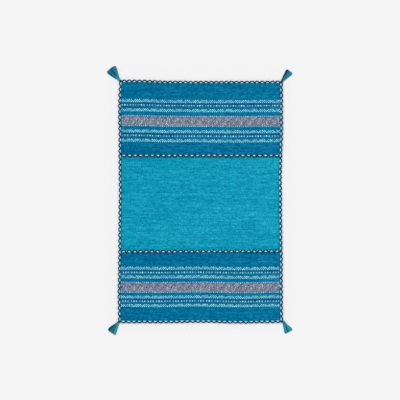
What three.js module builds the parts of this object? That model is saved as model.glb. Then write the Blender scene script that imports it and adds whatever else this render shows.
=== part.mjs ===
// A small flat-woven kilim, lying flat: one cotton sheet, a navy and white cord sewn along each
// side, two more lengths of that cord sewn across it, and a spread tassel at each corner.
// Millimetres. +X is to the right, +Y up the rug and +Z up from the floor. The origin is the
// middle of the cloth's underside.

import * as THREE from "three";

// Driving dimensions
const CLOTH_THICK = 4; // a chunky cotton flat weave
const HEM_ROUND = 0.8; // how much the hem's edge is rounded
const GAP = 0.3; // between pieces that touch on the real rug
const CORD_WIDE = 11; // over the white yarn and the waves of the navy yarn
const CORD_DEEP = 3.6; // from the top of a wave to the notch between two
const CORD_HIGH = 8;
const CLOTH_INSIDE = CORD_WIDE + GAP; // from the corded outline in to the cloth's edge
const CORNER_CUT = 6; // taken off where the cords turn the corner and the tassel comes out
const WAVE_POINTS = 6; // outline points to one wave
const WAVE_FULL = 0.7; // under 1 the waves are broad and the notches narrow
const SHARED_STEPS = 24; // straight steps to a side, the same in the cloth and in its cord
const TASSEL_NECK = 5.5;
const TASSEL_HIGH = 5;
const TASSEL_ROUND = 1.2; // how much the tassels' top and bottom edges are rounded

// How a tassel spreads, as shares of its length and of its full width
const SPREAD = { neckEnds: 0.3, fanStarts: 0.55, fanStartWide: 0.55, sideEnds: 0.93, endBulge: 1.07 };

// How far each side of the corded rug stands out from the middle lines, at places along it.
// The rug is handmade, so no side is quite straight. Each row: along, out
const TOP_SIDE = [
  [-300, 453.8],
  [-216, 453.4],
  [-123, 450.3],
  [62, 449.2],
  [300, 450.3],
];
const BOTTOM_SIDE = [
  [-300, 450.2],
  [-179, 450.7],
  [6, 448.7],
  [154, 451.8],
  [300, 449.2],
];
const LEFT_SIDE = [
  [-450, 306],
  [-363, 307.5],
  [-252, 306.1],
  [-104, 304.7],
  [44, 303.3],
  [229, 304.3],
  [340, 305.8],
  [453, 302],
];
const RIGHT_SIDE = [
  [-449, 307.8],
  [-326, 306.6],
  [-197, 306],
  [-104, 303.9],
  [7, 303.8],
  [81, 302.9],
  [285, 307.4],
  [450, 306.8],
];

// Waves along each length of cord
const WAVES = { top: 31, bottom: 30, left: 43, right: 44, divider: 28 };

// The dividers' straight sides, and which way their waves look: up is 1, down is -1
const DIVIDERS = [
  { name: "top", straightY: 175, wavesLook: -1 },
  { name: "bottom", straightY: -186.8, wavesLook: 1 },
];

// The tassels: which corner, the way they point in degrees from +X, and their size
const TASSELS = [
  { name: "top_left", acrossX: -1, upY: 1, points: 127, long: 55, wide: 41 },
  { name: "top_right", acrossX: 1, upY: 1, points: 53, long: 46.5, wide: 28 },
  { name: "bottom_left", acrossX: -1, upY: -1, points: 236, long: 46, wide: 37 },
  { name: "bottom_right", acrossX: 1, upY: -1, points: 303, long: 42.5, wide: 32 },
];

const cottonBlue = new THREE.MeshStandardMaterial({ color: "#0f7ba5", roughness: 0.95, metalness: 0 });
const cordNavy = new THREE.MeshStandardMaterial({ color: "#16435c", roughness: 0.9, metalness: 0 });
const tasselTeal = new THREE.MeshStandardMaterial({ color: "#1f6f80", roughness: 0.9, metalness: 0 });

const kilim = new THREE.Group();

function addPiece(name, geometry, material, z) {
  const piece = new THREE.Mesh(geometry, material);
  piece.name = name;
  piece.position.z = z;
  kilim.add(piece);
}

// How far out a side is at a place along it, eased between the rows of its table
function sideOut(table, along) {
  const last = table.length - 1;
  if (along <= table[0][0]) return table[0][1];
  if (along >= table[last][0]) return table[last][1];
  const k = table.findIndex((row) => row[0] > along);
  const [before, after] = [table[k - 1], table[k]];
  const t = (along - before[0]) / (after[0] - before[0]);
  const eased = t * t * (3 - 2 * t);
  return before[1] + (after[1] - before[1]) * eased;
}

const leftX = (y, inside) => -sideOut(LEFT_SIDE, y) + inside;
const rightX = (y, inside) => sideOut(RIGHT_SIDE, y) - inside;
const topY = (x, inside) => sideOut(TOP_SIDE, x) - inside;
const bottomY = (x, inside) => -sideOut(BOTTOM_SIDE, x) + inside;

// The corner of the rug's outline, moved in from both sides by the same distance.
// It starts past the end of both tables and closes in on where the two sides meet.
function corner(acrossX, upY, inside) {
  const sideX = acrossX < 0 ? leftX : rightX;
  const sideY = upY < 0 ? bottomY : topY;
  const y = sideY(sideX(upY * Infinity, inside), inside);
  const x = sideX(y, inside);
  return new THREE.Vector2(x, sideY(x, inside));
}

// Points from one value to another, ends included
function steps(from, to, count) {
  return Array.from({ length: count + 1 }, (_, i) => from + ((to - from) * i) / count);
}

// The places along a side where the cloth and the cord beside it share their outline
function sharedPlaces(from, to) {
  return steps(from, to, SHARED_STEPS);
}

// The cloth: one sheet with four slightly wavering sides, walked round from its bottom left
function clothShape() {
  const [bottomLeft, bottomRight] = [corner(-1, -1, CLOTH_INSIDE), corner(1, -1, CLOTH_INSIDE)];
  const [topLeft, topRight] = [corner(-1, 1, CLOTH_INSIDE), corner(1, 1, CLOTH_INSIDE)];
  const alongBottom = sharedPlaces(bottomLeft.x, bottomRight.x);
  const upRight = sharedPlaces(bottomRight.y, topRight.y).slice(1, -1);
  const alongTop = sharedPlaces(topLeft.x, topRight.x).reverse();
  const downLeft = sharedPlaces(bottomLeft.y, topLeft.y).slice(1, -1).reverse();
  return new THREE.Shape([
    ...alongBottom.map((x) => new THREE.Vector2(x, bottomY(x, CLOTH_INSIDE))),
    ...upRight.map((y) => new THREE.Vector2(rightX(y, CLOTH_INSIDE), y)),
    ...alongTop.map((x) => new THREE.Vector2(x, topY(x, CLOTH_INSIDE))),
    ...downLeft.map((y) => new THREE.Vector2(leftX(y, CLOTH_INSIDE), y)),
  ]);
}

function addCloth() {
  const geometry = new THREE.ExtrudeGeometry(clothShape(), {
    depth: CLOTH_THICK - 2 * HEM_ROUND,
    bevelThickness: HEM_ROUND,
    bevelSize: HEM_ROUND,
    bevelOffset: -HEM_ROUND,
    bevelSegments: 2,
  });
  addPiece("cloth", geometry, cottonBlue, HEM_ROUND);
}

// How deep the outline dips at a place along a cord: 0 on a wave's top, CORD_DEEP in a notch
function notch(turns) {
  const wave = 0.5 - 0.5 * Math.cos(2 * Math.PI * turns);
  return CORD_DEEP * (1 - wave ** WAVE_FULL);
}

// A flat length of cord: a wavy outer side and a smooth inner one.
// at(along, inside) gives the point that far along the cord and that far in from its outer side.
function cordGeometry(at, from, to, inner, waves, cut) {
  const wavy = steps(from, to, waves * WAVE_POINTS).map((along, i) => {
    const fromEnd = Math.min(along - from, to - along);
    return at(along, Math.max(cut - fromEnd, notch(i / WAVE_POINTS)));
  });
  const between = inner.filter((along) => along > from && along < to);
  const smooth = [from, ...between, to].reverse().map((along) => at(along, CORD_WIDE));
  return new THREE.ExtrudeGeometry(new THREE.Shape([...wavy, ...smooth]), {
    depth: CORD_HIGH,
    bevelEnabled: false,
  });
}

// The innermost x of a side cord between two heights, with the gap
function clearOfSide(acrossX, fromY, toY) {
  const sideX = acrossX < 0 ? leftX : rightX;
  const places = [fromY, (fromY + toY) / 2, toY].map((y) => sideX(y, CLOTH_INSIDE));
  return acrossX < 0 ? Math.max(...places) : Math.min(...places);
}

// The side cords run from corner to corner, and the top and bottom ones between them
function addEdgeCords() {
  for (const [name, acrossX, sideX] of [["left", -1, leftX], ["right", 1, rightX]]) {
    const [from, to] = [corner(acrossX, -1, 0).y, corner(acrossX, 1, 0).y];
    const inner = sharedPlaces(corner(acrossX, -1, CLOTH_INSIDE).y, corner(acrossX, 1, CLOTH_INSIDE).y);
    const at = (y, inside) => new THREE.Vector2(sideX(y, inside), y);
    addPiece(`edge_cord_${name}`, cordGeometry(at, from, to, inner, WAVES[name], CORNER_CUT), cordNavy, 0);
  }
  for (const [name, upY, sideY] of [["bottom", -1, bottomY], ["top", 1, topY]]) {
    const [outer, within] = [corner(1, upY, 0).y, corner(1, upY, CORD_WIDE).y];
    const [from, to] = [clearOfSide(-1, outer, within), clearOfSide(1, outer, within)];
    const inner = sharedPlaces(corner(-1, upY, CLOTH_INSIDE).x, corner(1, upY, CLOTH_INSIDE).x);
    const at = (x, inside) => new THREE.Vector2(x, sideY(x, inside));
    addPiece(`edge_cord_${name}`, cordGeometry(at, from, to, inner, WAVES[name], 0), cordNavy, 0);
  }
}

// The dividers lie on the cloth, from side cord to side cord
function addDividerCords() {
  for (const { name, straightY, wavesLook } of DIVIDERS) {
    const outerY = straightY + wavesLook * CORD_WIDE;
    const [from, to] = [clearOfSide(-1, straightY, outerY), clearOfSide(1, straightY, outerY)];
    const at = (x, inside) => new THREE.Vector2(x, outerY - wavesLook * inside);
    const geometry = cordGeometry(at, from, to, [], WAVES.divider, 0);
    addPiece(`divider_cord_${name}`, geometry, cordNavy, CLOTH_THICK + GAP);
  }
}

// A tassel lies on the floor: a narrow neck that spreads like a fan to a slightly rounded end.
// It is drawn pointing along +X from its neck, then turned to its corner.
function tasselShape(long, wide) {
  const half = wide / 2;
  const neck = TASSEL_NECK / 2;
  const fanHalf = half * SPREAD.fanStartWide;
  const shape = new THREE.Shape();
  shape.moveTo(0, -neck);
  shape.quadraticCurveTo(long * SPREAD.neckEnds, -neck, long * SPREAD.fanStarts, -fanHalf);
  shape.lineTo(long * SPREAD.sideEnds, -half);
  shape.quadraticCurveTo(long * SPREAD.endBulge, 0, long * SPREAD.sideEnds, half);
  shape.lineTo(long * SPREAD.fanStarts, fanHalf);
  shape.quadraticCurveTo(long * SPREAD.neckEnds, neck, 0, neck);
  return shape;
}

// Each tassel's neck meets the slanting cut of its corner, clear of it by the gap
function addTassels() {
  for (const { name, acrossX, upY, points, long, wide } of TASSELS) {
    const turn = THREE.MathUtils.degToRad(points);
    const outward = new THREE.Vector2(acrossX, upY).normalize();
    const slant = Math.abs(Math.sin(turn - outward.angle()));
    const cutMiddle = corner(acrossX, upY, 0).addScaledVector(outward, -CORNER_CUT / Math.SQRT2);
    const neck = cutMiddle.addScaledVector(outward, GAP + (TASSEL_NECK / 2) * slant);
    const geometry = new THREE.ExtrudeGeometry(tasselShape(long, wide), {
      depth: TASSEL_HIGH - 2 * TASSEL_ROUND,
      bevelThickness: TASSEL_ROUND,
      bevelSize: TASSEL_ROUND,
      bevelOffset: -TASSEL_ROUND,
      bevelSegments: 2,
      curveSegments: 6,
    });
    geometry.rotateZ(turn);
    geometry.translate(neck.x, neck.y, 0);
    addPiece(`tassel_${name}`, geometry, tasselTeal, TASSEL_ROUND);
  }
}

addCloth();
addEdgeCords();
addDividerCords();
addTassels();

export default kilim;
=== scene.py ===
# %% [markdown]
# A small kilim lying flat, seen from straight above.
# A kilim is a flat-woven rug: strong warp threads run its length, and thick cotton weft, laid
# in row by row, hides them. Here the rows are built one by one, the patterned rows get their
# raised floats from small charts, and the cords and tassels are grown along their real paths.

# %% The frame
import bpy
import math
import numpy as np
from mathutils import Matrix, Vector


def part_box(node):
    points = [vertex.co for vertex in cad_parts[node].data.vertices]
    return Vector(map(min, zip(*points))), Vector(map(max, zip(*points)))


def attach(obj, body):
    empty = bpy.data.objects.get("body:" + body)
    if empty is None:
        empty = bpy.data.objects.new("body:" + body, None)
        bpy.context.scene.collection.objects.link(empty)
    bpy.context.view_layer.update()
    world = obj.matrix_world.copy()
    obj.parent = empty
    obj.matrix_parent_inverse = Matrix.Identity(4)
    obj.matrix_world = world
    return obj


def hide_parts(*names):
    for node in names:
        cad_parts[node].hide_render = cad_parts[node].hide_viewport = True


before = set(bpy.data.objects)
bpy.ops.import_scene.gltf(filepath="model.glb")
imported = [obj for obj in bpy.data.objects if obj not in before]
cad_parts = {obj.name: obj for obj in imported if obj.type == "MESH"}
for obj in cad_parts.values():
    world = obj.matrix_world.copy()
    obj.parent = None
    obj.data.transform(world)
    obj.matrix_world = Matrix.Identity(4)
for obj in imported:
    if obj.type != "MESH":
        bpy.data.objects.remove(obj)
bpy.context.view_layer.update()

MM = 0.001
print("frame nodes:", sorted(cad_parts))

# %% [markdown]
# Colours are written as they look on a screen, in sRGB hex, and shaders work in linear light,
# so one function turns the first into the second.
# One small helper adds every node. A socket or node given as an input is linked, and a value
# is set. A node stands for its first output.

# %% Helpers for colour, nodes and objects
scene = bpy.context.scene
MATH = "ShaderNodeMath"
VECTOR_MATH = "ShaderNodeVectorMath"


def colour(hex_text, lighter=0.0):
    """A linear RGBA colour from sRGB hex such as 1a2b3c, made lighter by so many sRGB steps of 255.

    An array of steps ends in one value for all three of red, green and blue, or in three."""
    screen = np.array([int(hex_text[i : i + 2], 16) for i in (0, 2, 4)])
    screen = np.clip(screen + np.atleast_1d(lighter), 0, 255) / 255
    linear = np.where(screen <= 0.04045, screen / 12.92, ((screen + 0.055) / 1.055) ** 2.4)
    return np.concatenate([linear, np.ones_like(linear[..., :1])], axis=-1)


def add_node(tree, kind, inputs=(), **settings):
    """Adds a node with its settings, and its inputs in a row or by name, and returns it."""
    node = tree.nodes.new(kind)
    for name, value in settings.items():
        setattr(node, name, value)
    for key, value in inputs.items() if isinstance(inputs, dict) else enumerate(inputs):
        if isinstance(value, bpy.types.Node):
            value = next(socket for socket in value.outputs if not socket.is_unavailable)
        if isinstance(value, bpy.types.NodeSocket):
            tree.links.new(value, node.inputs[key])
        else:
            node.inputs[key].default_value = value
    return node


def in_metres(sizes):
    """The same named sizes, from millimetres."""
    return {name: size * MM for name, size in sizes.items()}


def add_object(name, data):
    """Puts a new object with this data into the scene."""
    thing = bpy.data.objects.new(name, data)
    scene.collection.objects.link(thing)
    return thing


def matt_material(name):
    """A new material without any gloss, and its shader."""
    material = bpy.data.materials.new(name)
    material.use_nodes = True
    shader = material.node_tree.nodes["Principled BSDF"]
    shader.inputs["Roughness"].default_value = 1.0
    shader.inputs["Specular IOR Level"].default_value = 0.0
    return material, shader


print("white in linear light:", colour("ffffff"))

# %% [markdown]
# The light of the photo is even and soft, with hardly any shadow, as in a light tent.
# A white world gives that, and one large, weak lamp from the upper left gives the yarns a
# little shape. The colours come out as set with the plain Standard view.
# The camera looks straight down, as in the photo. Its height follows from the lens and from
# how much of the floor the picture shows.

# %% Camera, floor and light
PIXEL = 3.70 * MM  # what one of the photo's 400 pixels covers at the height of the cloth
PICTURE = 400
RUG_MIDDLE = (200.3, 201.9)  # where the photo has the middle of the rug, in its pixels
LENS = 100.0
SENSOR = 36.0
CLOTH_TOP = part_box("cloth")[1][2]

scene.view_settings.view_transform = "Standard"
scene.view_settings.look = "None"
# The weave is about as fine as the picture's pixels, and the denoiser would rub it out as noise.
scene.cycles.use_denoising = False

camera_data = bpy.data.cameras.new("camera")
camera_data.lens = LENS
camera_data.sensor_width = SENSOR
camera = add_object("camera", camera_data)
camera.location = (
    (PICTURE / 2 - RUG_MIDDLE[0]) * PIXEL,
    (RUG_MIDDLE[1] - PICTURE / 2) * PIXEL,
    CLOTH_TOP + PICTURE * PIXEL * LENS / SENSOR,
)
scene.camera = camera

TENT_STRENGTH = 0.62
world = bpy.data.worlds.new("light tent")
world.use_nodes = True
tent = world.node_tree.nodes["Background"]
tent.inputs["Color"].default_value = (1.0, 1.0, 1.0, 1.0)
tent.inputs["Strength"].default_value = TENT_STRENGTH
scene.world = world

LAMP_STRENGTH = 1.40
LAMP_SOFT = 50  # how wide the lamp looks from the rug, in degrees
lamp_data = bpy.data.lights.new("soft lamp", "SUN")
lamp_data.angle = math.radians(LAMP_SOFT)
lamp_data.energy = LAMP_STRENGTH
lamp = add_object("soft lamp", lamp_data)
lamp.location = (-1.6, 1.8, 3.6)
lamp.rotation_mode = "QUATERNION"
lamp.rotation_quaternion = (-Vector(lamp.location)).to_track_quat("-Z", "Y")

FLOOR_HALF = 6.0
floor_mesh = bpy.data.meshes.new("floor")
floor_mesh.from_pydata(
    [(x * FLOOR_HALF, y * FLOOR_HALF, 0) for x, y in ((-1, -1), (1, -1), (1, 1), (-1, 1))],
    [], [(0, 1, 2, 3)],
)
floor = add_object("floor", floor_mesh)
floor_paint, floor_shader = matt_material("matt pale floor")
floor_shader.inputs["Base Color"].default_value = colour("f6f6f6")
floor.data.materials.append(floor_paint)
print("camera is", round(camera.location.z, 3), "m above the floor")

# %% [markdown]
# The outline. No side of a handmade rug is straight, so each side is a short table of how far
# it stands out from the middle lines, eased between its rows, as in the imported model.
# From these four sides one function finds any place on the cloth: how far across, from 0 to
# 1, and how far up the middle line, in millimetres. Woven rows follow it, so they bend a
# little where the ends of the rug do.

# %% The sides of the rug
CORD_WIDE = 11.0
GAP = 0.3
CLOTH_INSIDE = CORD_WIDE + GAP
TOP_SIDE = [(-300, 453.8), (-216, 453.4), (-123, 450.3), (62, 449.2), (300, 450.3)]
BOTTOM_SIDE = [(-300, 450.2), (-179, 450.7), (6, 448.7), (154, 451.8), (300, 449.2)]
LEFT_SIDE = [
    (-450, 306), (-363, 307.5), (-252, 306.1), (-104, 304.7),
    (44, 303.3), (229, 304.3), (340, 305.8), (453, 302),
]
RIGHT_SIDE = [
    (-449, 307.8), (-326, 306.6), (-197, 306), (-104, 303.9),
    (7, 303.8), (81, 302.9), (285, 307.4), (450, 306.8),
]


def side_out(side, along):
    """How far out a side stands at places along it, in mm."""
    places, outs = np.array(side, float).T
    along = np.clip(along, places[0], places[-1])
    k = np.clip(np.searchsorted(places, along, side="right") - 1, 0, len(places) - 2)
    t = (along - places[k]) / (places[k + 1] - places[k])
    return outs[k] + (outs[k + 1] - outs[k]) * t * t * (3 - 2 * t)


MIDDLE_TOP = float(side_out(TOP_SIDE, 0)) - CLOTH_INSIDE
MIDDLE_BOTTOM = CLOTH_INSIDE - float(side_out(BOTTOM_SIDE, 0))


def on_cloth(across, middle_y):
    """Where a point of the cloth lies, in mm, from its share across and height up the middle."""
    up = (middle_y - MIDDLE_BOTTOM) / (MIDDLE_TOP - MIDDLE_BOTTOM)
    y = middle_y + 0 * across
    for _ in range(3):  # the sides depend on y and the ends on x, so it is worked out in turns
        left = CLOTH_INSIDE - side_out(LEFT_SIDE, y)
        right = side_out(RIGHT_SIDE, y) - CLOTH_INSIDE
        x = left + across * (right - left)
        top = side_out(TOP_SIDE, x) - CLOTH_INSIDE
        bottom = CLOTH_INSIDE - side_out(BOTTOM_SIDE, x)
        y = bottom + up * (top - bottom)
    return x, y


print("cloth is", round(MIDDLE_TOP - MIDDLE_BOTTOM, 1), "mm long down its middle")

# %% [markdown]
# The weaving draft. A weaver reads a rug as a list of stripes, each some rows of weft high.
# Both end bands have the same stripes: zigzags, a dark row over a row of dots, and a wide
# band of mauve lozenges with a row of light spots on either side of it. They differ a little
# in height, as handwork does. Every patterned stripe repeats over the same eight warps, so
# its charts fit one another.

# %% The draft of the stripes
REPEAT = 30.6  # one pattern repeat across, in mm
WARP = REPEAT / 8
TOP_PEAK = 13.0  # a zigzag's peak in the top band, this far right of the middle
BOTTOM_PEAK = 17.8

# Each row: stripe, rows of weft, height in mm in the top band, and in the bottom band
BAND = [
    ("zigzag", 3, 10.7, 10.7),
    ("blue", 1, 3.2, 3.2),
    ("dark", 1, 3.2, 3.3),
    ("dots", 2, 8.1, 8.1),
    ("blue", 2, 8.6, 7.1),
    ("zigzag", 3, 10.7, 10.7),
    ("blue", 3, 13.8, 12.6),
    ("spots", 1, 3.5, 3.5),
    ("lozenges", 10, 33.8, 33.5),
    ("spots", 1, 3.7, 3.5),
    ("blue", 3, 12.4, 10.2),
    ("zigzag", 3, 10.3, 10.0),
    ("blue", 1, 3.6, 3.3),
    ("dark", 1, 3.7, 3.1),
    ("dots", 2, 8.1, 8.1),
    ("blue", 2, 8.2, 7.2),
    ("zigzag", 3, 10.5, 9.4),
]
top_band = [(stripe, rows, high) for stripe, rows, high, _ in BAND]
bottom_band = [(stripe, rows, high) for stripe, rows, _, high in BAND]
DRAFT = [
    ("blue", 14, 61.5),
    *top_band,
    ("blue", 11, 48.8),
    ("field", 84, 355.2),
    ("blue", 13, 55.8),
    *bottom_band,
    ("blue", 11, 50.7),
]

draft_high = sum(high for _, _, high in DRAFT)
stretch = (MIDDLE_TOP - MIDDLE_BOTTOM) / draft_high
rows_of_weft = []  # each: stripe, row in the stripe, upper edge, lower edge
edge = MIDDLE_TOP
for stripe, rows, high in DRAFT:
    for row in range(rows):
        lower = edge - high * stretch / rows
        rows_of_weft.append((stripe, row, edge, lower))
        edge = lower
print(len(rows_of_weft), "rows of weft, drafted", round(draft_high, 1), "mm high")

# %% [markdown]
# The dyes. Each row of weft is one yarn, so the colour belongs to the row. Cotton yarn is
# thick and thin and takes dye unevenly. That shows as streaks along the rows, some only one or
# two beads long and some a hand wide, so the unevenness is a sum of four lengths. It is given
# in steps of the 255 that the eye sees, lighter and darker by as much. The blue and field rows
# also grow a little lighter towards the right side of the rug and darker towards the left.

# %% The dyes
DYES = {
    "blue": "06719b",
    "field": "149bba",
    "zigzag": "0c709e",
    "dark": "105684",
    "dots": "287094",
    "spots": "2a7ea2",
    "lozenges": "757d92",
}
FLOAT_DYES = {
    "X": "a0f2ff", "x": "90e6ff", "n": "3888ac",  # zigzag
    "M": "98dcfa", "m": "84cae8",  # dots
    "B": "9ce8ff", "b": "88c8e0",  # spots
    "L": "c6cddc", "l": "99a1b5", "i": "7c8499", "d": "5e667e", "D": "282e42",  # lozenges
}
UNEVEN = [(5, 13.0), (9, 6.0), (34, 7.0), (150, 8.0)]  # each: a streak's length in mm, its steps
RIGHTWARD_LIGHTENING = {"blue": 4.0, "field": 3.0}  # steps lighter at the right edge, and darker at the left
TINT_LONG = 60.0  # length in mm of a change of hue, from one lot of yarn to the next
TINT = {"lozenges": 9.0}  # steps by which red, green and blue differ
PLAIN_TINT = 2.0
random = np.random.default_rng(7)


def streaks(along, long):
    """Smooth uneven values between -1 and 1 at places along a yarn, in mm."""
    knots = np.arange(along.min() - 2 * long, along.max() + 2 * long, long)
    knots = knots + random.uniform(-0.4, 0.4, len(knots)) * long
    return np.interp(along, knots, random.uniform(-1, 1, len(knots)))


print("dyes:", ", ".join(DYES))

# %% [markdown]
# The cloth is one sheet, 4 mm thick, with a rounded edge all round. A flat box would do for a
# far view, but the rows of thick weft are what the eye reads as a kilim, so every row is
# a real rib: the mesh has a line of points on each rib's crest and one in each valley, on
# both faces. The ribs are a little thick and thin where the yarn is.
# The sheet carries a UV map in threads, warps across and rows down, and a colour for
# each face corner, so that neighbouring rows keep a sharp line between them.

# %% The woven sheet
THICK = 4.0
RIB_DEEP = 0.55
SLUB = 0.22  # how much lower a thin stretch of yarn lies
SLUB_LONG = 26.0
COLUMN = 5.3  # width of the mesh's columns
HEM = (0.7, 0.72)  # a point this far in from the edge, and its share of the half thickness
NOMINAL_WIDE = 19.12 * REPEAT

row_high = [upper - lower for _, _, upper, lower in rows_of_weft]
row_edges = [MIDDLE_TOP, MIDDLE_TOP - HEM[0]]
lift = [0.0, HEM[1]]  # 1 on a crest and 0 in a valley
thread_v = [0.0, HEM[0] / row_high[0]]
face_row = [0, 0]
for i, (_, _, upper, lower) in enumerate(rows_of_weft):
    row_edges += [(upper + lower) / 2, lower]
    lift += [1.0, 0.0]
    thread_v += [i + 0.5, i + 1.0]
    face_row += [i, i + 1]
last = len(rows_of_weft) - 1
row_edges.insert(-1, MIDDLE_BOTTOM + HEM[0])
lift.insert(-1, HEM[1])
thread_v.insert(-1, last + 1 - HEM[0] / row_high[last])
face_row = face_row[: len(row_edges) - 2] + [last]

columns = int(NOMINAL_WIDE / COLUMN)
shares = np.concatenate([
    [0, HEM[0] / NOMINAL_WIDE],
    np.linspace(0, 1, columns + 1)[1:-1],
    [1 - HEM[0] / NOMINAL_WIDE, 1],
])
row_edges, lift, thread_v = (np.array(v)[:, None] for v in (row_edges, lift, thread_v))
across_mm = (shares - 0.5) * NOMINAL_WIDE
cloth_x, cloth_y = on_cloth(shares[None, :] + 0 * row_edges, row_edges)
slubs = np.array([streaks(across_mm, SLUB_LONG) for _ in row_edges])
rise = THICK / 2 - RIB_DEEP * (1 - lift) - SLUB * (0.5 + 0.5 * slubs) * lift
rise[[1, -2], :] = THICK / 2 * HEM[1]
rise[:, [1, -2]] *= HEM[1]
rise[[0, -1], :] = 0
rise[:, [0, -1]] = 0

high, wide = rise.shape
top_index = np.arange(high * wide).reshape(high, wide)
under_index = top_index.copy()
under_index[1:-1, 1:-1] = high * wide + np.arange((high - 2) * (wide - 2)).reshape(high - 2, -1)
top_points = np.stack([cloth_x, cloth_y, THICK / 2 + rise], axis=-1).reshape(-1, 3)
under_points = np.stack([cloth_x, cloth_y, THICK / 2 - rise], axis=-1)[1:-1, 1:-1].reshape(-1, 3)
points = np.concatenate([top_points, under_points]) * MM


def quads(index, facing_up):
    """The grid's faces as rows of four point numbers."""
    round_it = [index[:-1, :-1], index[1:, :-1], index[1:, 1:], index[:-1, 1:]]
    if not facing_up:
        round_it.reverse()
    return np.stack(round_it, axis=-1).reshape(-1, 4)


def corner_values(values, facing_up):
    """The same corners' values, from one value for each point of a face row and column."""
    left, right = values[:, :-1], values[:, 1:]
    round_it = [left, left, right, right] if facing_up else [right, right, left, left]
    return np.stack(round_it, axis=2)


dye = np.zeros((len(rows_of_weft), wide, 4))
for i, (stripe, _, _, _) in enumerate(rows_of_weft):
    uneven = sum(steps * streaks(across_mm, long) for long, steps in UNEVEN)
    # Blue and field rows are lighter towards the right and darker towards the left.
    uneven = uneven + RIGHTWARD_LIGHTENING.get(stripe, 0.0) * across_mm / across_mm.max()
    tint = np.stack([streaks(across_mm, TINT_LONG) for _ in "rgb"], axis=-1)
    dye[i] = colour(DYES[stripe], uneven[:, None] + tint * TINT.get(stripe, PLAIN_TINT))
face_dye = dye[np.array(face_row)]

cloth_mesh = bpy.data.meshes.new("cloth_woven")
faces = np.concatenate([quads(top_index, True), quads(under_index, False)])
cloth_mesh.from_pydata(points.tolist(), [], faces.tolist())
corners = np.concatenate([corner_values(face_dye, up).reshape(-1, 4) for up in (True, False)])
dyed = cloth_mesh.attributes.new("dye", "FLOAT_COLOR", "CORNER")
dyed.data.foreach_set("color", corners.astype(np.float32).ravel())
threads = np.stack(np.broadcast_arrays(across_mm[None, :] / WARP, thread_v), axis=-1).reshape(-1, 2)
threads = np.concatenate([threads, threads.reshape(high, wide, 2)[1:-1, 1:-1].reshape(-1, 2)])
thread_map = cloth_mesh.uv_layers.new(name="threads")
thread_map.data.foreach_set("uv", threads[faces.ravel()].astype(np.float32).ravel())
cloth_mesh.shade_smooth()
cloth = add_object("cloth_woven", cloth_mesh)
print("sheet:", len(points), "points,", 2 * len(faces), "triangles")

# %% [markdown]
# The cloth's finish: matt cotton weft beaten down hard over the warp. To the eye it is dull,
# with no gloss, and has a bead where the weft passes over each warp, set over by half a bead
# from row to row. The beads are 4 mm wide, about one pixel of the photo, so they are bump on
# the real ribs, with painted shade in the dips between beads. The yarn is also a little lighter
# and darker from bead to bead, as it is thick and thin.
# Cotton fibres are some 0.02 mm thick and far too fine to show, so they are drawn 0.5 to
# 0.9 mm coarse here and on all the yarns.

# %% Cotton with fibres
FIBRE_TONE = (0.93, 1.07)  # the darkest and the lightest fibres, times their dye


def cotton(name, fibre_mm, bump_mm, fibre_rough=0.5):
    """A matt cotton material without a colour yet, with its fibres as bump."""
    material, shader = matt_material(name)
    tree = material.node_tree
    place = add_node(tree, "ShaderNodeTexCoord", name="place")
    noise = {"Scale": 1 / (fibre_mm * MM), "Detail": 2.0, "Roughness": fibre_rough}
    fibres = add_node(
        tree, "ShaderNodeTexNoise", {"Vector": place.outputs["Object"], **noise}, name="fibres",
    )
    bump = add_node(
        tree, "ShaderNodeBump", {"Height": fibres, "Distance": bump_mm * MM, "Strength": 0.6},
        name="fibre bump",
    )
    tree.links.new(bump.outputs["Normal"], shader.inputs["Normal"])
    return material


def dyed_cotton(name, fibre_mm, bump_mm):
    """Cotton with the colour of the mesh's own dye, a little uneven from fibre to fibre."""
    material = cotton(name, fibre_mm, bump_mm, 0.6)
    tree = material.node_tree
    dyed = add_node(tree, "ShaderNodeAttribute", attribute_name="dye")
    tone = add_node(tree, "ShaderNodeMapRange", [tree.nodes["fibres"], 0.3, 0.7, *FIBRE_TONE])
    toned = add_node(tree, VECTOR_MATH, {0: dyed, "Scale": tone}, operation="SCALE", name="dyed")
    tree.links.new(toned.outputs["Vector"], tree.nodes["Principled BSDF"].inputs["Base Color"])
    return material


weft = dyed_cotton("hard-beaten cotton weft", 0.9, 0.25)
print(weft.name, "has", len(weft.node_tree.nodes), "nodes so far")

# %% Beads of weft
BEAD_HIGH = 0.5
# Painted shade: the weft is painted darker in the dip between two beads than on a bead.
BEAD_PAINTED_SHADE = (0.86, 1.02)  # between two beads, and on a bead
BEAD_UNEVEN = 0.30  # how much lighter or darker than its yarn a single bead may be
BEADS_ALIKE = 1.3  # how quickly that changes along the yarn
ROWS_APART = 7.3  # so far apart in the noise, two rows have nothing in common

tree = weft.node_tree
threads_in = add_node(tree, "ShaderNodeUVMap", uv_map="threads")
split = add_node(tree, "ShaderNodeSeparateXYZ", [threads_in])
row_number = add_node(tree, MATH, [split.outputs["Y"]], operation="FLOOR")
half_step = add_node(tree, MATH, [row_number, 0.5], operation="MULTIPLY")
shifted = add_node(tree, MATH, [split.outputs["X"], half_step], operation="ADD")
turned = add_node(tree, MATH, [shifted, math.pi], operation="MULTIPLY")
wave = add_node(tree, MATH, [turned], operation="SINE")
bead = add_node(tree, MATH, [wave], operation="ABSOLUTE")
bead_bump = add_node(tree, "ShaderNodeBump", {
    "Height": bead, "Distance": BEAD_HIGH * MM, "Strength": 0.7,
    "Normal": tree.nodes["fibre bump"],
})
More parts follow.
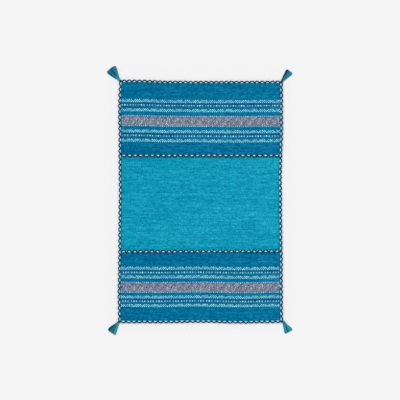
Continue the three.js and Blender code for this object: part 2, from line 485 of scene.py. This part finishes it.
# Painted shade in the dips between beads.
bead_painted_shade = add_node(tree, "ShaderNodeMapRange", [bead, 0.0, 0.5, *BEAD_PAINTED_SHADE])
row_apart = add_node(tree, MATH, [row_number, ROWS_APART], operation="MULTIPLY")
on_yarn = add_node(tree, "ShaderNodeCombineXYZ", [shifted, row_apart])
thick_thin = add_node(
    tree, "ShaderNodeTexNoise", {"Vector": on_yarn, "Scale": BEADS_ALIKE, "Detail": 1.0},
    noise_dimensions="2D",
)
yarn_tone = add_node(
    tree, "ShaderNodeMapRange", [thick_thin, 0.25, 0.75, 1 - BEAD_UNEVEN, 1 + BEAD_UNEVEN],
)
painted_shade_and_tone = add_node(tree, MATH, [bead_painted_shade, yarn_tone], operation="MULTIPLY")
beaded = add_node(
    tree, VECTOR_MATH, {0: tree.nodes["dyed"], "Scale": painted_shade_and_tone}, operation="SCALE",
)
shader = tree.nodes["Principled BSDF"]
tree.links.new(beaded.outputs["Vector"], shader.inputs["Base Color"])
tree.links.new(bead_bump.outputs["Normal"], shader.inputs["Normal"])
cloth.data.materials.append(weft)
print(weft.name, "has", len(tree.nodes), "nodes")

# %% [markdown]
# Geometry Nodes grow everything that repeats: the floats, the cords and the tassels.
# Each tree is given its sizes through named inputs. One function runs a tree on a starting
# mesh and hands back a plain mesh object, as the finished piece carries no live modifier.

# %% Running a node tree
def new_tree(name, sockets):
    """A geometry tree with these inputs, each a (name, kind) pair, and what it is given."""
    tree = bpy.data.node_groups.new(name, "GeometryNodeTree")
    for socket, kind in [("Geometry", "Geometry"), *sockets]:
        tree.interface.new_socket(socket, in_out="INPUT", socket_type="NodeSocket" + kind)
    tree.interface.new_socket("Geometry", in_out="OUTPUT", socket_type="NodeSocketGeometry")
    return tree, add_node(tree, "NodeGroupInput").outputs


def grow(name, start_mesh, tree, values):
    """Runs the tree on a mesh with these values, and returns the result as a plain object."""
    holder = add_object(name, start_mesh)
    modifier = holder.modifiers.new("grow", "NODES")
    modifier.node_group = tree
    for item in tree.interface.items_tree:
        if item.in_out == "INPUT" and item.name in values:
            modifier[item.identifier] = values[item.name]
    evaluated = holder.evaluated_get(bpy.context.evaluated_depsgraph_get())
    mesh = bpy.data.meshes.new_from_object(evaluated)
    mesh.name = name
    bpy.data.objects.remove(holder)
    return add_object(name, mesh)


def dress(tree, geometry, material):
    """Smooths a tree's geometry and gives it its material."""
    smooth = add_node(tree, "GeometryNodeSetShadeSmooth", {"Geometry": geometry})
    return add_node(tree, "GeometryNodeSetMaterial", {"Geometry": smooth, "Material": material})


def triangles(piece):
    """How many triangles a piece has."""
    piece.data.calc_loop_triangles()
    return len(piece.data.loop_triangles)


print("ready to grow trees")

# %% [markdown]
# The floats. In the patterned stripes an extra weft of another colour floats over the ground
# for a warp or two and dips under again. Each float shows as a small raised pillow.
# A chart says where they lie, one letter a float and one line a row of weft, and the stripes
# repeat it across. A repeat is eight warps wide, and the charts have a column for each. Only
# the dots lie between the warps too, so their chart divides the repeat in twenty. The letters
# are the float dyes given above.

# %% The charts
ZIGZAG_CHART = [
    "X.x.n.x.",
    "nx.x.x.x",
    "x.x.X.x.",
]
DOT_CHART = ["....m.....M.....m..."]
SPOT_CHART = ["B.b.b.b."]
LOZENGE_CHART = [
    "i.l.i.l.",
    ".l.d.l.l",
    "l.d.l.l.",
    "..l..l.L",
    "d.l..l..",
    "Dl..L..l",
    "l..l.l..",
    "..l.L...",
    "l..l.l..",
    "l.l...l.",
]
# For each stripe: its chart, and a float's length, width and height in mm
FLOATS = {
    "zigzag": (ZIGZAG_CHART, 4.5, 3.9, 1.2),
    "dots": (DOT_CHART, 5.2, 6.0, 1.5),
    "spots": (SPOT_CHART, 4.6, 3.8, 1.2),
    "lozenges": (LOZENGE_CHART, 4.6, 4.1, 1.1),
}
BIGGER = {"X": 1.2, "n": 0.8, "M": 1.15, "m": 0.9}  # these floats' lengths, times that
print({stripe: f"{len(f[0])} rows by {len(f[0][0])}" for stripe, f in FLOATS.items()})

# %% [markdown]
# Each chart line is laid along its row of weft, from the left edge to the right, and every
# letter becomes one point that knows its size, its turn and its dye. The tree then puts one
# pillow on each point, sunk half into the ribs, so that it reads as woven in and not laid on.

# %% The floats' tree
float_tree, given = new_tree("floats", [("Material", "Material")])
pillow = add_node(float_tree, "GeometryNodeMeshUVSphere", [8, 5, 0.5])  # round, high, radius
size, turn = (
    add_node(
        float_tree, "GeometryNodeInputNamedAttribute", {"Name": name}, data_type="FLOAT_VECTOR",
    )
    for name in ("size", "turn")
)
laid = add_node(
    float_tree, "GeometryNodeInstanceOnPoints",
    {"Points": given["Geometry"], "Instance": pillow, "Rotation": turn, "Scale": size},
)
real = add_node(float_tree, "GeometryNodeRealizeInstances", {"Geometry": laid})
dressed = dress(float_tree, real, given["Material"])
add_node(float_tree, "NodeGroupOutput", [dressed])
print("float tree has", len(float_tree.nodes), "nodes")

# %% Growing the floats
EDGE_CLEAR = 3.0  # no float's middle lies nearer the cloth's edge, in mm
FLOAT_SINK = 0.25  # how far below the crests a float's middle lies
FLOAT_UNEVEN = 36.0  # steps by which a float may be lighter or darker than its dye
FLOAT_STRAY = (0.35, 0.3)  # how far a float may lie from its place, across and up, in mm
FLOAT_VARIES = (0.10, 0.08, 0.12)  # by what share its length, width and height may vary
FLOAT_TURN = 5.0  # how far it may be turned, in degrees


def float_points(stripe):
    """A mesh of points for all the floats of one kind of stripe, with their sizes and dyes."""
    chart, *usual_size = FLOATS[stripe]
    step = REPEAT / len(chart[0])
    places, sizes, turns, dyes = [], [], [], []
    for kind, row, upper, lower in rows_of_weft:
        if kind != stripe or row >= len(chart):
            continue
        middle = lower if stripe == "dots" else (upper + lower) / 2  # a dot spans two rows
        peak = TOP_PEAK if middle > 0 else BOTTOM_PEAK
        repeats = math.ceil(NOMINAL_WIDE / 2 / REPEAT) + 1
        for repeat in range(-repeats, repeats):
            for column, letter in enumerate(chart[row]):
                across = peak + repeat * REPEAT + column * step
                if letter == "." or abs(across) > NOMINAL_WIDE / 2 - EDGE_CLEAR:
                    continue
                jitter = random.uniform(-1, 1, 6)
                share = across / NOMINAL_WIDE + 0.5 + FLOAT_STRAY[0] * jitter[0] / NOMINAL_WIDE
                x, y = on_cloth(np.float64(share), middle + FLOAT_STRAY[1] * jitter[1])
                size = usual_size * (1 + FLOAT_VARIES * jitter[2:5])
                size[0] *= BIGGER.get(letter, 1.0)
                places.append((x * MM, y * MM, (THICK - FLOAT_SINK) * MM))
                sizes.append(size * MM)
                turns.append((0, 0, math.radians(FLOAT_TURN * jitter[5])))
                dyes.append(colour(FLOAT_DYES[letter], FLOAT_UNEVEN * random.uniform(-1, 1)))
    mesh = bpy.data.meshes.new(f"{stripe}_points")
    mesh.from_pydata(places, [], [])
    for name, kind, values in (
        ("size", "VECTOR", sizes), ("turn", "VECTOR", turns), ("dye", "COLOR", dyes),
    ):
        layer = mesh.attributes.new(name, "FLOAT_" + kind, "POINT")
        layer.data.foreach_set(kind.lower(), np.array(values, np.float32).ravel())
    return mesh


# Loosely spun cotton: matt, and to the eye softer and fuller than the weft
float_yarn = dyed_cotton("soft cotton float yarn", 0.8, 0.3)
floats = []
for stripe in FLOATS:
    start = float_points(stripe)
    piece = grow(f"{stripe}_floats", start, float_tree, {"Material": float_yarn})
    floats.append(piece)
    print(stripe, len(start.vertices), "floats,", triangles(piece), "triangles")

# %% [markdown]
# The cord. A thick white yarn lies straight along the edge, and a navy yarn waves over it: it
# bulges outward in broad arcs, dips in over the white yarn, and goes out again, so that a spot
# of white bulges up inside each arc. A thinner third yarn holds down the straight side. All
# are plied, three strands twisted together.
# A curve swept with a round profile would look like wire. So the profile has three lobes, and
# the curve's tilt turns them along its length, which is what plying does.

# %% The cord's sizes
POINTS_A_WAVE = 22
PLY_LOBE = 0.10  # how far the plies stand out, as a share of the yarn's radius
NAVY_LOBE = 0.13
CLIMB = 0.8  # under 1 the navy yarn climbs early
SEAM_RISE = 0.6  # how far the thin yarn lies above the white one's middle, in its own radii

# Sizes in mm that all cords share
CORD = {
    "Ply turn": 15.0,  # length of yarn in which its plies turn once round
    "Navy low": 3.0,  # the navy yarn's middle at the outside of an arc
    "Navy high": 7.2,  # and where it crosses the white yarn
    "White bulge": 1.4,  # how far the white yarn bulges up between two crossings
}
# And their own, from the side of the arcs. Sewn across the rug the cord is laid looser, with
# longer arcs, and a navy thread holds down its straight side. On the edge that thread is blue.
EDGE_LOOK = {
    "Arcs inside": 3.4, "Wave deep": 4.8, "Wave full": 0.85, "White inside": 4.6,
    "Navy radius": 2.9, "White radius": 2.7, "Seam inside": 7.5, "Seam radius": 1.6,
}
DIVIDER_LOOK = {
    "Arcs inside": 3.1, "Wave deep": 5.2, "Wave full": 0.9, "White inside": 4.2,
    "Navy radius": 2.7, "White radius": 2.8, "Seam inside": 7.4, "Seam radius": 1.0,
}
print("an edge cord's arcs come", CORD_WIDE, "mm out from the cloth")

# %% The cord's tree: path and waves
CIRCLE = 2 * math.pi

cord_tree, given = new_tree("two-yarn cord", [
    ("Waves", "Int"), ("Points", "Int"), ("Ply turn", "Float"),
    ("Wave deep", "Float"), ("Wave full", "Float"), ("Navy low", "Float"), ("Navy high", "Float"),
    ("White inside", "Float"), ("White bulge", "Float"), ("Seam inside", "Float"),
    ("Navy radius", "Float"), ("White radius", "Float"), ("Seam radius", "Float"),
    ("Navy yarn", "Material"), ("White yarn", "Material"), ("Seam yarn", "Material"),
])
path = add_node(cord_tree, "GeometryNodeMeshToCurve", {"Mesh": given["Geometry"]})
fine = add_node(cord_tree, "GeometryNodeResampleCurve", {"Curve": path, "Count": given["Points"]})
along = add_node(cord_tree, "GeometryNodeSplineParameter")
phase = add_node(cord_tree, MATH, [along, given["Waves"]], operation="MULTIPLY")
angle = add_node(cord_tree, MATH, [phase, CIRCLE], operation="MULTIPLY")
swing = add_node(cord_tree, MATH, [angle], operation="COSINE")
arc = add_node(cord_tree, "ShaderNodeMapRange", [swing, 1.0, -1.0, 0.0, 1.0])
fuller = add_node(cord_tree, MATH, [arc, given["Wave full"]], operation="POWER")
dip = add_node(cord_tree, MATH, [1.0, fuller], operation="SUBTRACT")
forward = add_node(cord_tree, "GeometryNodeInputTangent")
inward = add_node(cord_tree, VECTOR_MATH, [(0, 0, 1), forward], operation="CROSS_PRODUCT")
print("cord tree has", len(cord_tree.nodes), "nodes so far")

# %% The cord's tree: a yarn of three plies
RING_POINTS = 12
PLIES = 3


def plied_yarn(inside, height, radius, lobe, material):
    """Sweeps a lobed yarn along the cord's path, moved in and up, with its plies turning."""
    level = add_node(cord_tree, VECTOR_MATH, {0: inward, "Scale": inside}, operation="SCALE")
    upward = add_node(cord_tree, "ShaderNodeCombineXYZ", {"Z": height})
    offset = add_node(cord_tree, VECTOR_MATH, [level, upward], operation="ADD")
    moved = add_node(cord_tree, "GeometryNodeSetPosition", {"Geometry": fine, "Offset": offset})
    length = add_node(cord_tree, "GeometryNodeSplineParameter").outputs["Length"]
    turns = add_node(cord_tree, MATH, [length, given["Ply turn"]], operation="DIVIDE")
    tilt = add_node(cord_tree, MATH, [turns, CIRCLE], operation="MULTIPLY")
    twisted = add_node(cord_tree, "GeometryNodeSetCurveTilt", {"Curve": moved, "Tilt": tilt})
    ring_sizes = {"Resolution": RING_POINTS, "Radius": radius}
    ring = add_node(cord_tree, "GeometryNodeCurvePrimitiveCircle", ring_sizes)
    round_it = add_node(cord_tree, "GeometryNodeSplineParameter")
    plies = add_node(cord_tree, MATH, [round_it, CIRCLE * PLIES], operation="MULTIPLY")
    bulge = add_node(cord_tree, MATH, [plies], operation="COSINE")
    lobes = add_node(cord_tree, MATH, [bulge, lobe, 1 - lobe], operation="MULTIPLY_ADD")
    place = add_node(cord_tree, "GeometryNodeInputPosition")
    scaled = add_node(cord_tree, VECTOR_MATH, {0: place, "Scale": lobes}, operation="SCALE")
    profile = add_node(cord_tree, "GeometryNodeSetPosition", {"Geometry": ring, "Position": scaled})
    swept = add_node(
        cord_tree, "GeometryNodeCurveToMesh",
        {"Curve": twisted, "Profile Curve": profile, "Fill Caps": True},
    )
    return dress(cord_tree, swept, material)


print("a ply is", RING_POINTS // PLIES, "points of the ring")

# %% The cord's tree: its three yarns
climb = add_node(cord_tree, MATH, [given["Navy high"], given["Navy low"]], operation="SUBTRACT")
steep = add_node(cord_tree, MATH, [dip, CLIMB], operation="POWER")
navy_up = add_node(cord_tree, MATH, [steep, climb, given["Navy low"]], operation="MULTIPLY_ADD")
navy_in = add_node(cord_tree, MATH, [dip, given["Wave deep"]], operation="MULTIPLY")
raised = add_node(cord_tree, MATH, [fuller, given["White bulge"]], operation="MULTIPLY")
white_up = add_node(cord_tree, MATH, [given["White radius"], raised], operation="ADD")
seam_up = add_node(
    cord_tree, MATH, [given["Seam radius"], SEAM_RISE, given["White radius"]],
    operation="MULTIPLY_ADD",
)
all_yarns = add_node(cord_tree, "GeometryNodeJoinGeometry")
for colour_name, inside, height, lobe in (
    ("White", given["White inside"], white_up, PLY_LOBE),
    ("Navy", navy_in, navy_up, NAVY_LOBE),
    ("Seam", given["Seam inside"], seam_up, PLY_LOBE),
):
    radius, material = given[f"{colour_name} radius"], given[f"{colour_name} yarn"]
    yarn = plied_yarn(inside, height, radius, lobe, material)
    cord_tree.links.new(yarn.outputs["Geometry"], all_yarns.inputs["Geometry"])
real = add_node(cord_tree, "GeometryNodeRealizeInstances", {"Geometry": all_yarns})
add_node(cord_tree, "NodeGroupOutput", [real])
print("cord tree has", len(cord_tree.nodes), "nodes")

# %% [markdown]
# Cotton yarn for the cords: matt, soft and a little hairy. Each has one dye, and is uneven by
# its plies and by a slow change between two tones along the yarn.

# %% Cord yarns
YARN_FIBRE = 0.5
YARN_BUMP = 0.3


def dye_by(material, value, dyes):
    """Colours a material by a value, from pairs of where it stands and its dye there."""
    tree = material.node_tree
    ramp = add_node(tree, "ShaderNodeValToRGB", [value])
    while len(ramp.color_ramp.elements) < len(dyes):
        ramp.color_ramp.elements.new(0.5)
    for element, (place, hex_text) in zip(ramp.color_ramp.elements, dyes):
        element.position = place
        element.color = colour(hex_text)
    tree.links.new(ramp.outputs["Color"], tree.nodes["Principled BSDF"].inputs["Base Color"])


def plain_yarn(name, dark, light, patch_mm):
    """A yarn that changes slowly between two tones."""
    material = cotton(name, YARN_FIBRE, YARN_BUMP)
    tree = material.node_tree
    place = tree.nodes["place"].outputs["Object"]
    patches = add_node(
        tree, "ShaderNodeTexNoise", {"Vector": place, "Scale": 1 / (patch_mm * MM), "Detail": 3.0},
    )
    dye_by(material, patches, [(0.35, dark), (0.68, light)])
    return material


navy_yarn = plain_yarn("plied navy cotton", "001e3c", "004c78", 9.0)
white_yarn = plain_yarn("plied white cotton", "a4ecff", "ccf8ff", 12.0)
seam_yarn = plain_yarn("blue selvedge cotton", "0a6c94", "1488a8", 20.0)
print("cord yarns:", navy_yarn.name, "and", white_yarn.name)

# %% [markdown]
# The path of each cord runs along the tops of the navy arcs with the rug on its left, so the
# tree's inward side is always right. The side cords run from corner to corner, the top and
# bottom ones between them, and the dividers lie across the cloth, with their arcs towards the
# plain field.

# %% Laying a cord
CORNER_CUT = 6.0
PATH_STEPS = 60
WOBBLE = 0.5  # how much a hand-laid cord strays to the side, in mm
BEYOND = 999  # farther along than any side is long


def corner_of(across, up, inside):
    """A corner of the rug's outline, moved in from both sides."""
    side_x = LEFT_SIDE if across < 0 else RIGHT_SIDE
    side_y = BOTTOM_SIDE if up < 0 else TOP_SIDE
    y = up * (float(side_out(side_y, across * BEYOND)) - inside)
    x = across * (float(side_out(side_x, y)) - inside)
    return x, up * (float(side_out(side_y, x)) - inside)


def path_mesh(name, xs, ys, zs, closed=False):
    """A line of points, in mm, as a mesh of edges."""
    mesh = bpy.data.meshes.new(name)
    places = [(x * MM, y * MM, z * MM) for x, y, z in zip(xs, ys, zs)]
    count = len(places)
    mesh.from_pydata(places, [(i, (i + 1) % count) for i in range(count - 1 + closed)], [])
    return mesh


def stray(along, long, long_start, short, short_start):
    """How far the cord strays, in mm, as two waves along it with these lengths and starts."""
    return WOBBLE * np.sin(along / long + long_start) * np.sin(along / short + short_start)


def lay_cord(name, node, xs, ys, z, waves, look):
    """Grows one cord along a path."""
    path = path_mesh(f"{name}_path", xs, ys, z + 0 * xs)
    piece = grow(name, path, cord_tree, in_metres(CORD | look) | {
        "Waves": waves,
        "Points": waves * POINTS_A_WAVE + 1,
        "Wave full": look["Wave full"],  # a power, and not a size
        "Navy yarn": navy_yarn,
        "White yarn": white_yarn,
        "Seam yarn": seam_yarn if look is EDGE_LOOK else navy_yarn,
    })
    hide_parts(node)
    print(name, waves, "waves,", triangles(piece), "triangles")
    return piece


print("the top left corner is at", np.round(corner_of(-1, 1, 0), 1), "mm")

# %% Laying all the cords
# Each edge: its name, its side, the way it runs, the way its arcs look, its waves, how it strays
EDGES = [
    ("left", LEFT_SIDE, "up", -1, 43, (61, 1, 23, 0)),
    ("right", RIGHT_SIDE, "up", 1, 44, (53, 0, 31, 2)),
    ("bottom", BOTTOM_SIDE, "across", -1, 30, (47, 0, 19, 0)),
    ("top", TOP_SIDE, "across", 1, 31, (41, 2, 22, 0)),
]
cords = []
for name, side, runs, looks, waves, strays in EDGES:
    if runs == "up":
        ends = [corner_of(looks, up, 0)[1] - up * CORNER_CUT for up in (-1, 1)]
    else:
        ends = [corner_of(across, looks, CLOTH_INSIDE)[0] for across in (-1, 1)]
    if (runs == "up") != (looks > 0):
        ends.reverse()  # so that the rug is on the path's left
    places = np.linspace(*ends, PATH_STEPS)
    outs = looks * (side_out(side, places) - EDGE_LOOK["Arcs inside"]) + stray(places, *strays)
    xs, ys = (outs, places) if runs == "up" else (places, outs)
    cords.append(lay_cord(f"{name}_cord", f"edge_cord_{name}", xs, ys, 0, waves, EDGE_LOOK))

DIVIDER_WAVES = 28
# Each divider: its name, its node, where its arcs look, and how much it rises to the right
for name, node, looks, rises in (
    ("upper_divider", "divider_cord_top", -1, 0.0),
    ("lower_divider", "divider_cord_bottom", 1, 0.0036),
):
    low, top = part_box(node)
    xs = np.linspace(low[0], top[0], PATH_STEPS)[::-looks] / MM
    outer_y = (low[1] if looks < 0 else top[1]) / MM
    ys = outer_y - looks * DIVIDER_LOOK["Arcs inside"] + rises * xs + stray(xs, 58, 1, 27, 0)
    z = THICK - RIB_DEEP / 2
    cords.append(lay_cord(name, node, xs, ys, z, DIVIDER_WAVES, DIVIDER_LOOK))

# %% [markdown]
# A tassel is a bunch of loose yarns, tied at the corner and cut off square, that lies spread
# like a fan. The tree makes one straight yarn for each point, then bends all of them with
# four rules: how wide the fan is at each share of its length, how the end is rounded, how the
# yarns sway, and how they lie in layers on the floor. Each yarn keeps a tone of its own, and
# the material turns the tones into dyes. A lean makes one side of the fan darker. Near the
# neck the yarns are painted lighter, as in the photo: a painted highlight on the bunched neck,
# which fades out along the yarns.

# %% The tassel's tree: its yarns
YARN_POINTS = 13
# What chance gives each yarn, from the tassel's own seed: its name, the least and the most
CHANCES = [
    ("side", -0.05, 0.05), ("tone", -0.34, 0.34), ("layer", 0.0, 1.0), ("share", 0.96, 1.0),
    ("sway", -1.0, 1.0),
]

fan_tree, given = new_tree("tassel", [
    ("Yarns", "Int"), ("Long", "Float"), ("Wide", "Float"), ("Neck", "Float"), ("High", "Float"),
    ("Yarn radius", "Float"), ("Lean", "Float"), ("Shade", "Float"), ("Neck highlight", "Float"),
    ("Seed", "Int"), ("Place", "Vector"), ("Turn", "Float"), ("Material", "Material"),
])
values = {}
for number, (name, least, most) in enumerate(CHANCES, 1):
    seed = add_node(fan_tree, MATH, [given["Seed"], number], operation="ADD")
    values[name] = add_node(
        fan_tree, "FunctionNodeRandomValue", {"Min": least, "Max": most, "Seed": seed},
        data_type="FLOAT",
    )
index = add_node(fan_tree, "GeometryNodeInputIndex")
between = add_node(fan_tree, MATH, [index, 0.5], operation="ADD")
spaced = add_node(fan_tree, MATH, [between, given["Yarns"]], operation="DIVIDE")
even = add_node(fan_tree, MATH, [spaced, 2.0, -1.0], operation="MULTIPLY_ADD")
values["side"] = side = add_node(fan_tree, MATH, [even, values["side"]], operation="ADD")
leaning = add_node(fan_tree, MATH, [side, given["Lean"], given["Shade"]], operation="MULTIPLY_ADD")
values["tone"] = add_node(fan_tree, MATH, [leaning, values["tone"]], operation="ADD")
stored = add_node(fan_tree, "GeometryNodePoints", {"Count": given["Yarns"]})
for name, value in values.items():
    stored = add_node(
        fan_tree, "GeometryNodeStoreNamedAttribute",
        {"Geometry": stored, "Name": name, "Value": value}, data_type="FLOAT", domain="POINT",
    )
line = add_node(fan_tree, "GeometryNodeCurvePrimitiveLine", [(0, 0, 0), (1, 0, 0)])
stepped = add_node(fan_tree, "GeometryNodeResampleCurve", {"Curve": line, "Count": YARN_POINTS})
laid = add_node(fan_tree, "GeometryNodeInstanceOnPoints", {"Points": stored, "Instance": stepped})
loose = add_node(fan_tree, "GeometryNodeRealizeInstances", {"Geometry": laid})
print("each yarn keeps its", ", ".join(values))

# %% The tassel's tree: the fan
FAN = [(0, 0), (0.12, 0.05), (0.3, 0.22), (0.55, 0.54), (0.85, 0.9), (1, 1)]  # share along, wide
HALF = 0.46  # how far from the middle the outer yarns lie, as a share of the fan's width
SWAY = 0.7 * MM  # how far a yarn's end sways
SWAY_TURNS = 7.0
SWAY_STARTS = 3.0
SIDES_SHORTER = 0.06  # by how much, as a share, which rounds off the end's corners
CORNER_POWER = 5.0
END_SINKS = 0.4  # by what share the layers are flatter at the end
# The neck's painted highlight fades out over a share of the length.
NECK_HIGHLIGHT_ENDS = 2.2  # one over the share of the length where the neck's lighter tone has gone

along = add_node(fan_tree, "GeometryNodeSplineParameter")
yarn = {
    name: add_node(fan_tree, "GeometryNodeInputNamedAttribute", {"Name": name}, data_type="FLOAT")
    for name in values
}
spread = add_node(fan_tree, "ShaderNodeFloatCurve", {"Value": along})
spread_curve = spread.mapping.curves[0]
spread_curve.points[0].location = FAN[0]
spread_curve.points[1].location = FAN[-1]
for place in FAN[1:-1]:
    spread_curve.points.new(*place)
spread.mapping.update()
widening = add_node(fan_tree, MATH, [given["Wide"], given["Neck"]], operation="SUBTRACT")
full = add_node(fan_tree, MATH, [spread, widening, given["Neck"]], operation="MULTIPLY_ADD")
off_middle = add_node(fan_tree, MATH, [yarn["side"], HALF], operation="MULTIPLY")
straight_y = add_node(fan_tree, MATH, [full, off_middle], operation="MULTIPLY")
start = add_node(fan_tree, MATH, [yarn["sway"], SWAY_STARTS], operation="MULTIPLY")
phase = add_node(fan_tree, MATH, [along, SWAY_TURNS, start], operation="MULTIPLY_ADD")
swing = add_node(fan_tree, MATH, [phase], operation="SINE")
swing_wide = add_node(fan_tree, MATH, [along, SWAY], operation="MULTIPLY")
sway = add_node(fan_tree, MATH, [swing, swing_wide], operation="MULTIPLY")
fan_y = add_node(fan_tree, MATH, [straight_y, sway], operation="ADD")
either_side = add_node(fan_tree, MATH, [yarn["side"]], operation="ABSOLUTE")
corner = add_node(fan_tree, MATH, [either_side, CORNER_POWER], operation="POWER")
rounded = add_node(fan_tree, MATH, [corner, -SIDES_SHORTER, 1.0], operation="MULTIPLY_ADD")
reach = add_node(fan_tree, MATH, [rounded, yarn["share"]], operation="MULTIPLY")
yarn_long = add_node(fan_tree, MATH, [reach, given["Long"]], operation="MULTIPLY")
fan_x = add_node(fan_tree, MATH, [along, yarn_long], operation="MULTIPLY")
sinking = add_node(fan_tree, MATH, [along, -END_SINKS, 1.0], operation="MULTIPLY_ADD")
room = add_node(
    fan_tree, MATH, [given["Yarn radius"], -2.0, given["High"]], operation="MULTIPLY_ADD",
)
room_here = add_node(fan_tree, MATH, [room, sinking], operation="MULTIPLY")
layer_z = add_node(fan_tree, MATH, [room_here, yarn["layer"]], operation="MULTIPLY")
fan_z = add_node(fan_tree, MATH, [layer_z, given["Yarn radius"]], operation="ADD")
fan_place = add_node(fan_tree, "ShaderNodeCombineXYZ", [fan_x, fan_y, fan_z])
print("tassel tree has", len(fan_tree.nodes), "nodes so far")

# %% The tassel's tree: tones and finish
# Painted highlight: near the neck each yarn's tone is raised by the neck highlight, fading out
# along the yarn.
from_neck = add_node(fan_tree, MATH, [along, -NECK_HIGHLIGHT_ENDS, 1.0], operation="MULTIPLY_ADD")
neck_highlight_share = add_node(fan_tree, MATH, [from_neck, 0.0], operation="MAXIMUM")
tone = add_node(
    fan_tree, MATH, [neck_highlight_share, given["Neck highlight"], yarn["tone"]], operation="MULTIPLY_ADD",
)
toned = add_node(
    fan_tree, "GeometryNodeStoreNamedAttribute",
    {"Geometry": loose, "Name": "tone", "Value": tone}, data_type="FLOAT", domain="POINT",
)
fanned = add_node(fan_tree, "GeometryNodeSetPosition", {"Geometry": toned, "Position": fan_place})
ring_sizes = {"Resolution": 6, "Radius": given["Yarn radius"]}
ring = add_node(fan_tree, "GeometryNodeCurvePrimitiveCircle", ring_sizes)
swept = add_node(
    fan_tree, "GeometryNodeCurveToMesh",
    {"Curve": fanned, "Profile Curve": ring, "Fill Caps": True},
)
turned = add_node(fan_tree, "ShaderNodeCombineXYZ", {"Z": given["Turn"]})
placed = add_node(
    fan_tree, "GeometryNodeTransform",
    {"Geometry": swept, "Translation": given["Place"], "Rotation": turned},
)
dressed = dress(fan_tree, placed, given["Material"])
add_node(fan_tree, "NodeGroupOutput", [dressed])
print("tassel tree has", len(fan_tree.nodes), "nodes")

# %% [markdown]
# Tassel yarn is the same soft cotton, in six dyes: dark green, deep teal, navy, teal, the
# blue of the rug and its turquoise.

# %% Tassel yarn
# Each dye, from the darkest tone to the lightest
TASSEL_DYES = [
    (0.0, "0a2f38"), (0.2, "114a58"), (0.36, "1a5878"), (0.52, "237f8c"), (0.7, "3088ac"),
    (0.9, "3fa4b4"),
]
tassel_yarn = cotton("loose cotton tassel yarn", YARN_FIBRE, YARN_BUMP)
tone_in = add_node(tassel_yarn.node_tree, "ShaderNodeAttribute", attribute_name="tone")
dye_by(tassel_yarn, tone_in.outputs["Fac"], TASSEL_DYES)
print("tassel dyes:", len(TASSEL_DYES))

# %% [markdown]
# The four tassels differ, as hand-tied ones do. Each lies as it was dropped, so its direction,
# length and width are its own.

# %% Laying the tassels
TASSEL_YARNS = 44
TASSEL = {"Neck": 7.5, "High": 5.0, "Yarn radius": 1.3}  # sizes in mm that all tassels share
TUCKED = 3.0  # how far the yarns start behind the neck, inside the knot

# Each row: corner's name, across, up, pointing in degrees from +X, how far to the left of that
# it starts, long, wide, lean, shade, and the painted highlight: how much lighter the neck is
TASSELS = [
    ("top_left", -1, 1, 127, 0.4, 55, 42, -0.14, 0.42, 0.6),
    ("top_right", 1, 1, 52, 0.9, 46.5, 28, -0.30, 0.40, 0.0),
    ("bottom_left", -1, -1, 236, -0.8, 46, 37, 0.34, 0.48, 0.3),
    ("bottom_right", 1, -1, 298, 3.6, 42.5, 33, 0.05, 0.72, -0.1),
]
tassels = []
nothing = bpy.data.meshes.new("nothing")
for i, (name, across, up, points_at, aside, long, broad, lean, shade, neck) in enumerate(TASSELS):
    x, y = corner_of(across, up, CORNER_CUT / 2)
    turn = math.radians(points_at)
    forward = Vector((math.cos(turn), math.sin(turn), 0))
    left = Vector((-math.sin(turn), math.cos(turn), 0))
    sizes = in_metres(TASSEL | {"Long": long + TUCKED, "Wide": broad})
    piece = grow(f"{name}_tassel", nothing, fan_tree, sizes | {
        "Yarns": TASSEL_YARNS, "Lean": lean, "Shade": shade, "Neck highlight": neck,
        "Seed": 10 * i + 3,
        "Place": (Vector((x, y, 0)) - TUCKED * forward + aside * left) * MM,
        "Turn": turn,
        "Material": tassel_yarn,
    })
    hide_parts(f"tassel_{name}")
    tassels.append(piece)
    print(piece.name, triangles(piece), "triangles")

# %% [markdown]
# At each corner the two cords end in a small knot of teal yarn, and the tassel comes out of it.
# A trefoil is the simplest real knot, and one formula draws it. It is swept as a plain round
# yarn, because it is only a few millimetres across.

# %% Corner knots
KNOT_RADIUS = 1.2
KNOT_YARN = 1.3  # the yarn's radius
KNOT_POINTS = 48
KNOT_INSIDE = 6.0  # from both sides of the corner
KNOT_MIDDLE = 4.6  # above the floor

knot_tree, given = new_tree("knot", [("Yarn radius", "Float"), ("Material", "Material")])
path = add_node(knot_tree, "GeometryNodeMeshToCurve", {"Mesh": given["Geometry"]})
ring_sizes = {"Resolution": 10, "Radius": given["Yarn radius"]}
ring = add_node(knot_tree, "GeometryNodeCurvePrimitiveCircle", ring_sizes)
swept = add_node(knot_tree, "GeometryNodeCurveToMesh", {"Curve": path, "Profile Curve": ring})
dressed = dress(knot_tree, swept, given["Material"])
add_node(knot_tree, "NodeGroupOutput", [dressed])

knot_yarn = plain_yarn("knotted teal cotton", "0a4460", "0f6284", 9.0)
knots = []
t = np.linspace(0, CIRCLE, KNOT_POINTS, endpoint=False)
for name, across, up, *_ in TASSELS:
    x, y = corner_of(across, up, KNOT_INSIDE)
    trefoil = path_mesh(
        f"{name}_knot_path",
        x + KNOT_RADIUS * (np.sin(t) + 2 * np.sin(2 * t)),
        y + KNOT_RADIUS * (np.cos(t) - 2 * np.cos(2 * t)),
        KNOT_MIDDLE - KNOT_RADIUS * np.sin(3 * t),
        closed=True,
    )
    values = {"Yarn radius": KNOT_YARN * MM, "Material": knot_yarn}
    knot = grow(f"{name}_knot", trefoil, knot_tree, values)
    knots.append(knot)
    print(knot.name, triangles(knot), "triangles")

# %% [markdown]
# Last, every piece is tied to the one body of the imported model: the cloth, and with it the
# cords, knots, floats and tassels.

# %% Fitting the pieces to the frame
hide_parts("cloth")
for piece in [cloth, *floats]:
    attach(piece, "root")
for piece in [*cords, *knots]:
    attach(piece, "root")
for piece in tassels:
    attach(piece, "root")
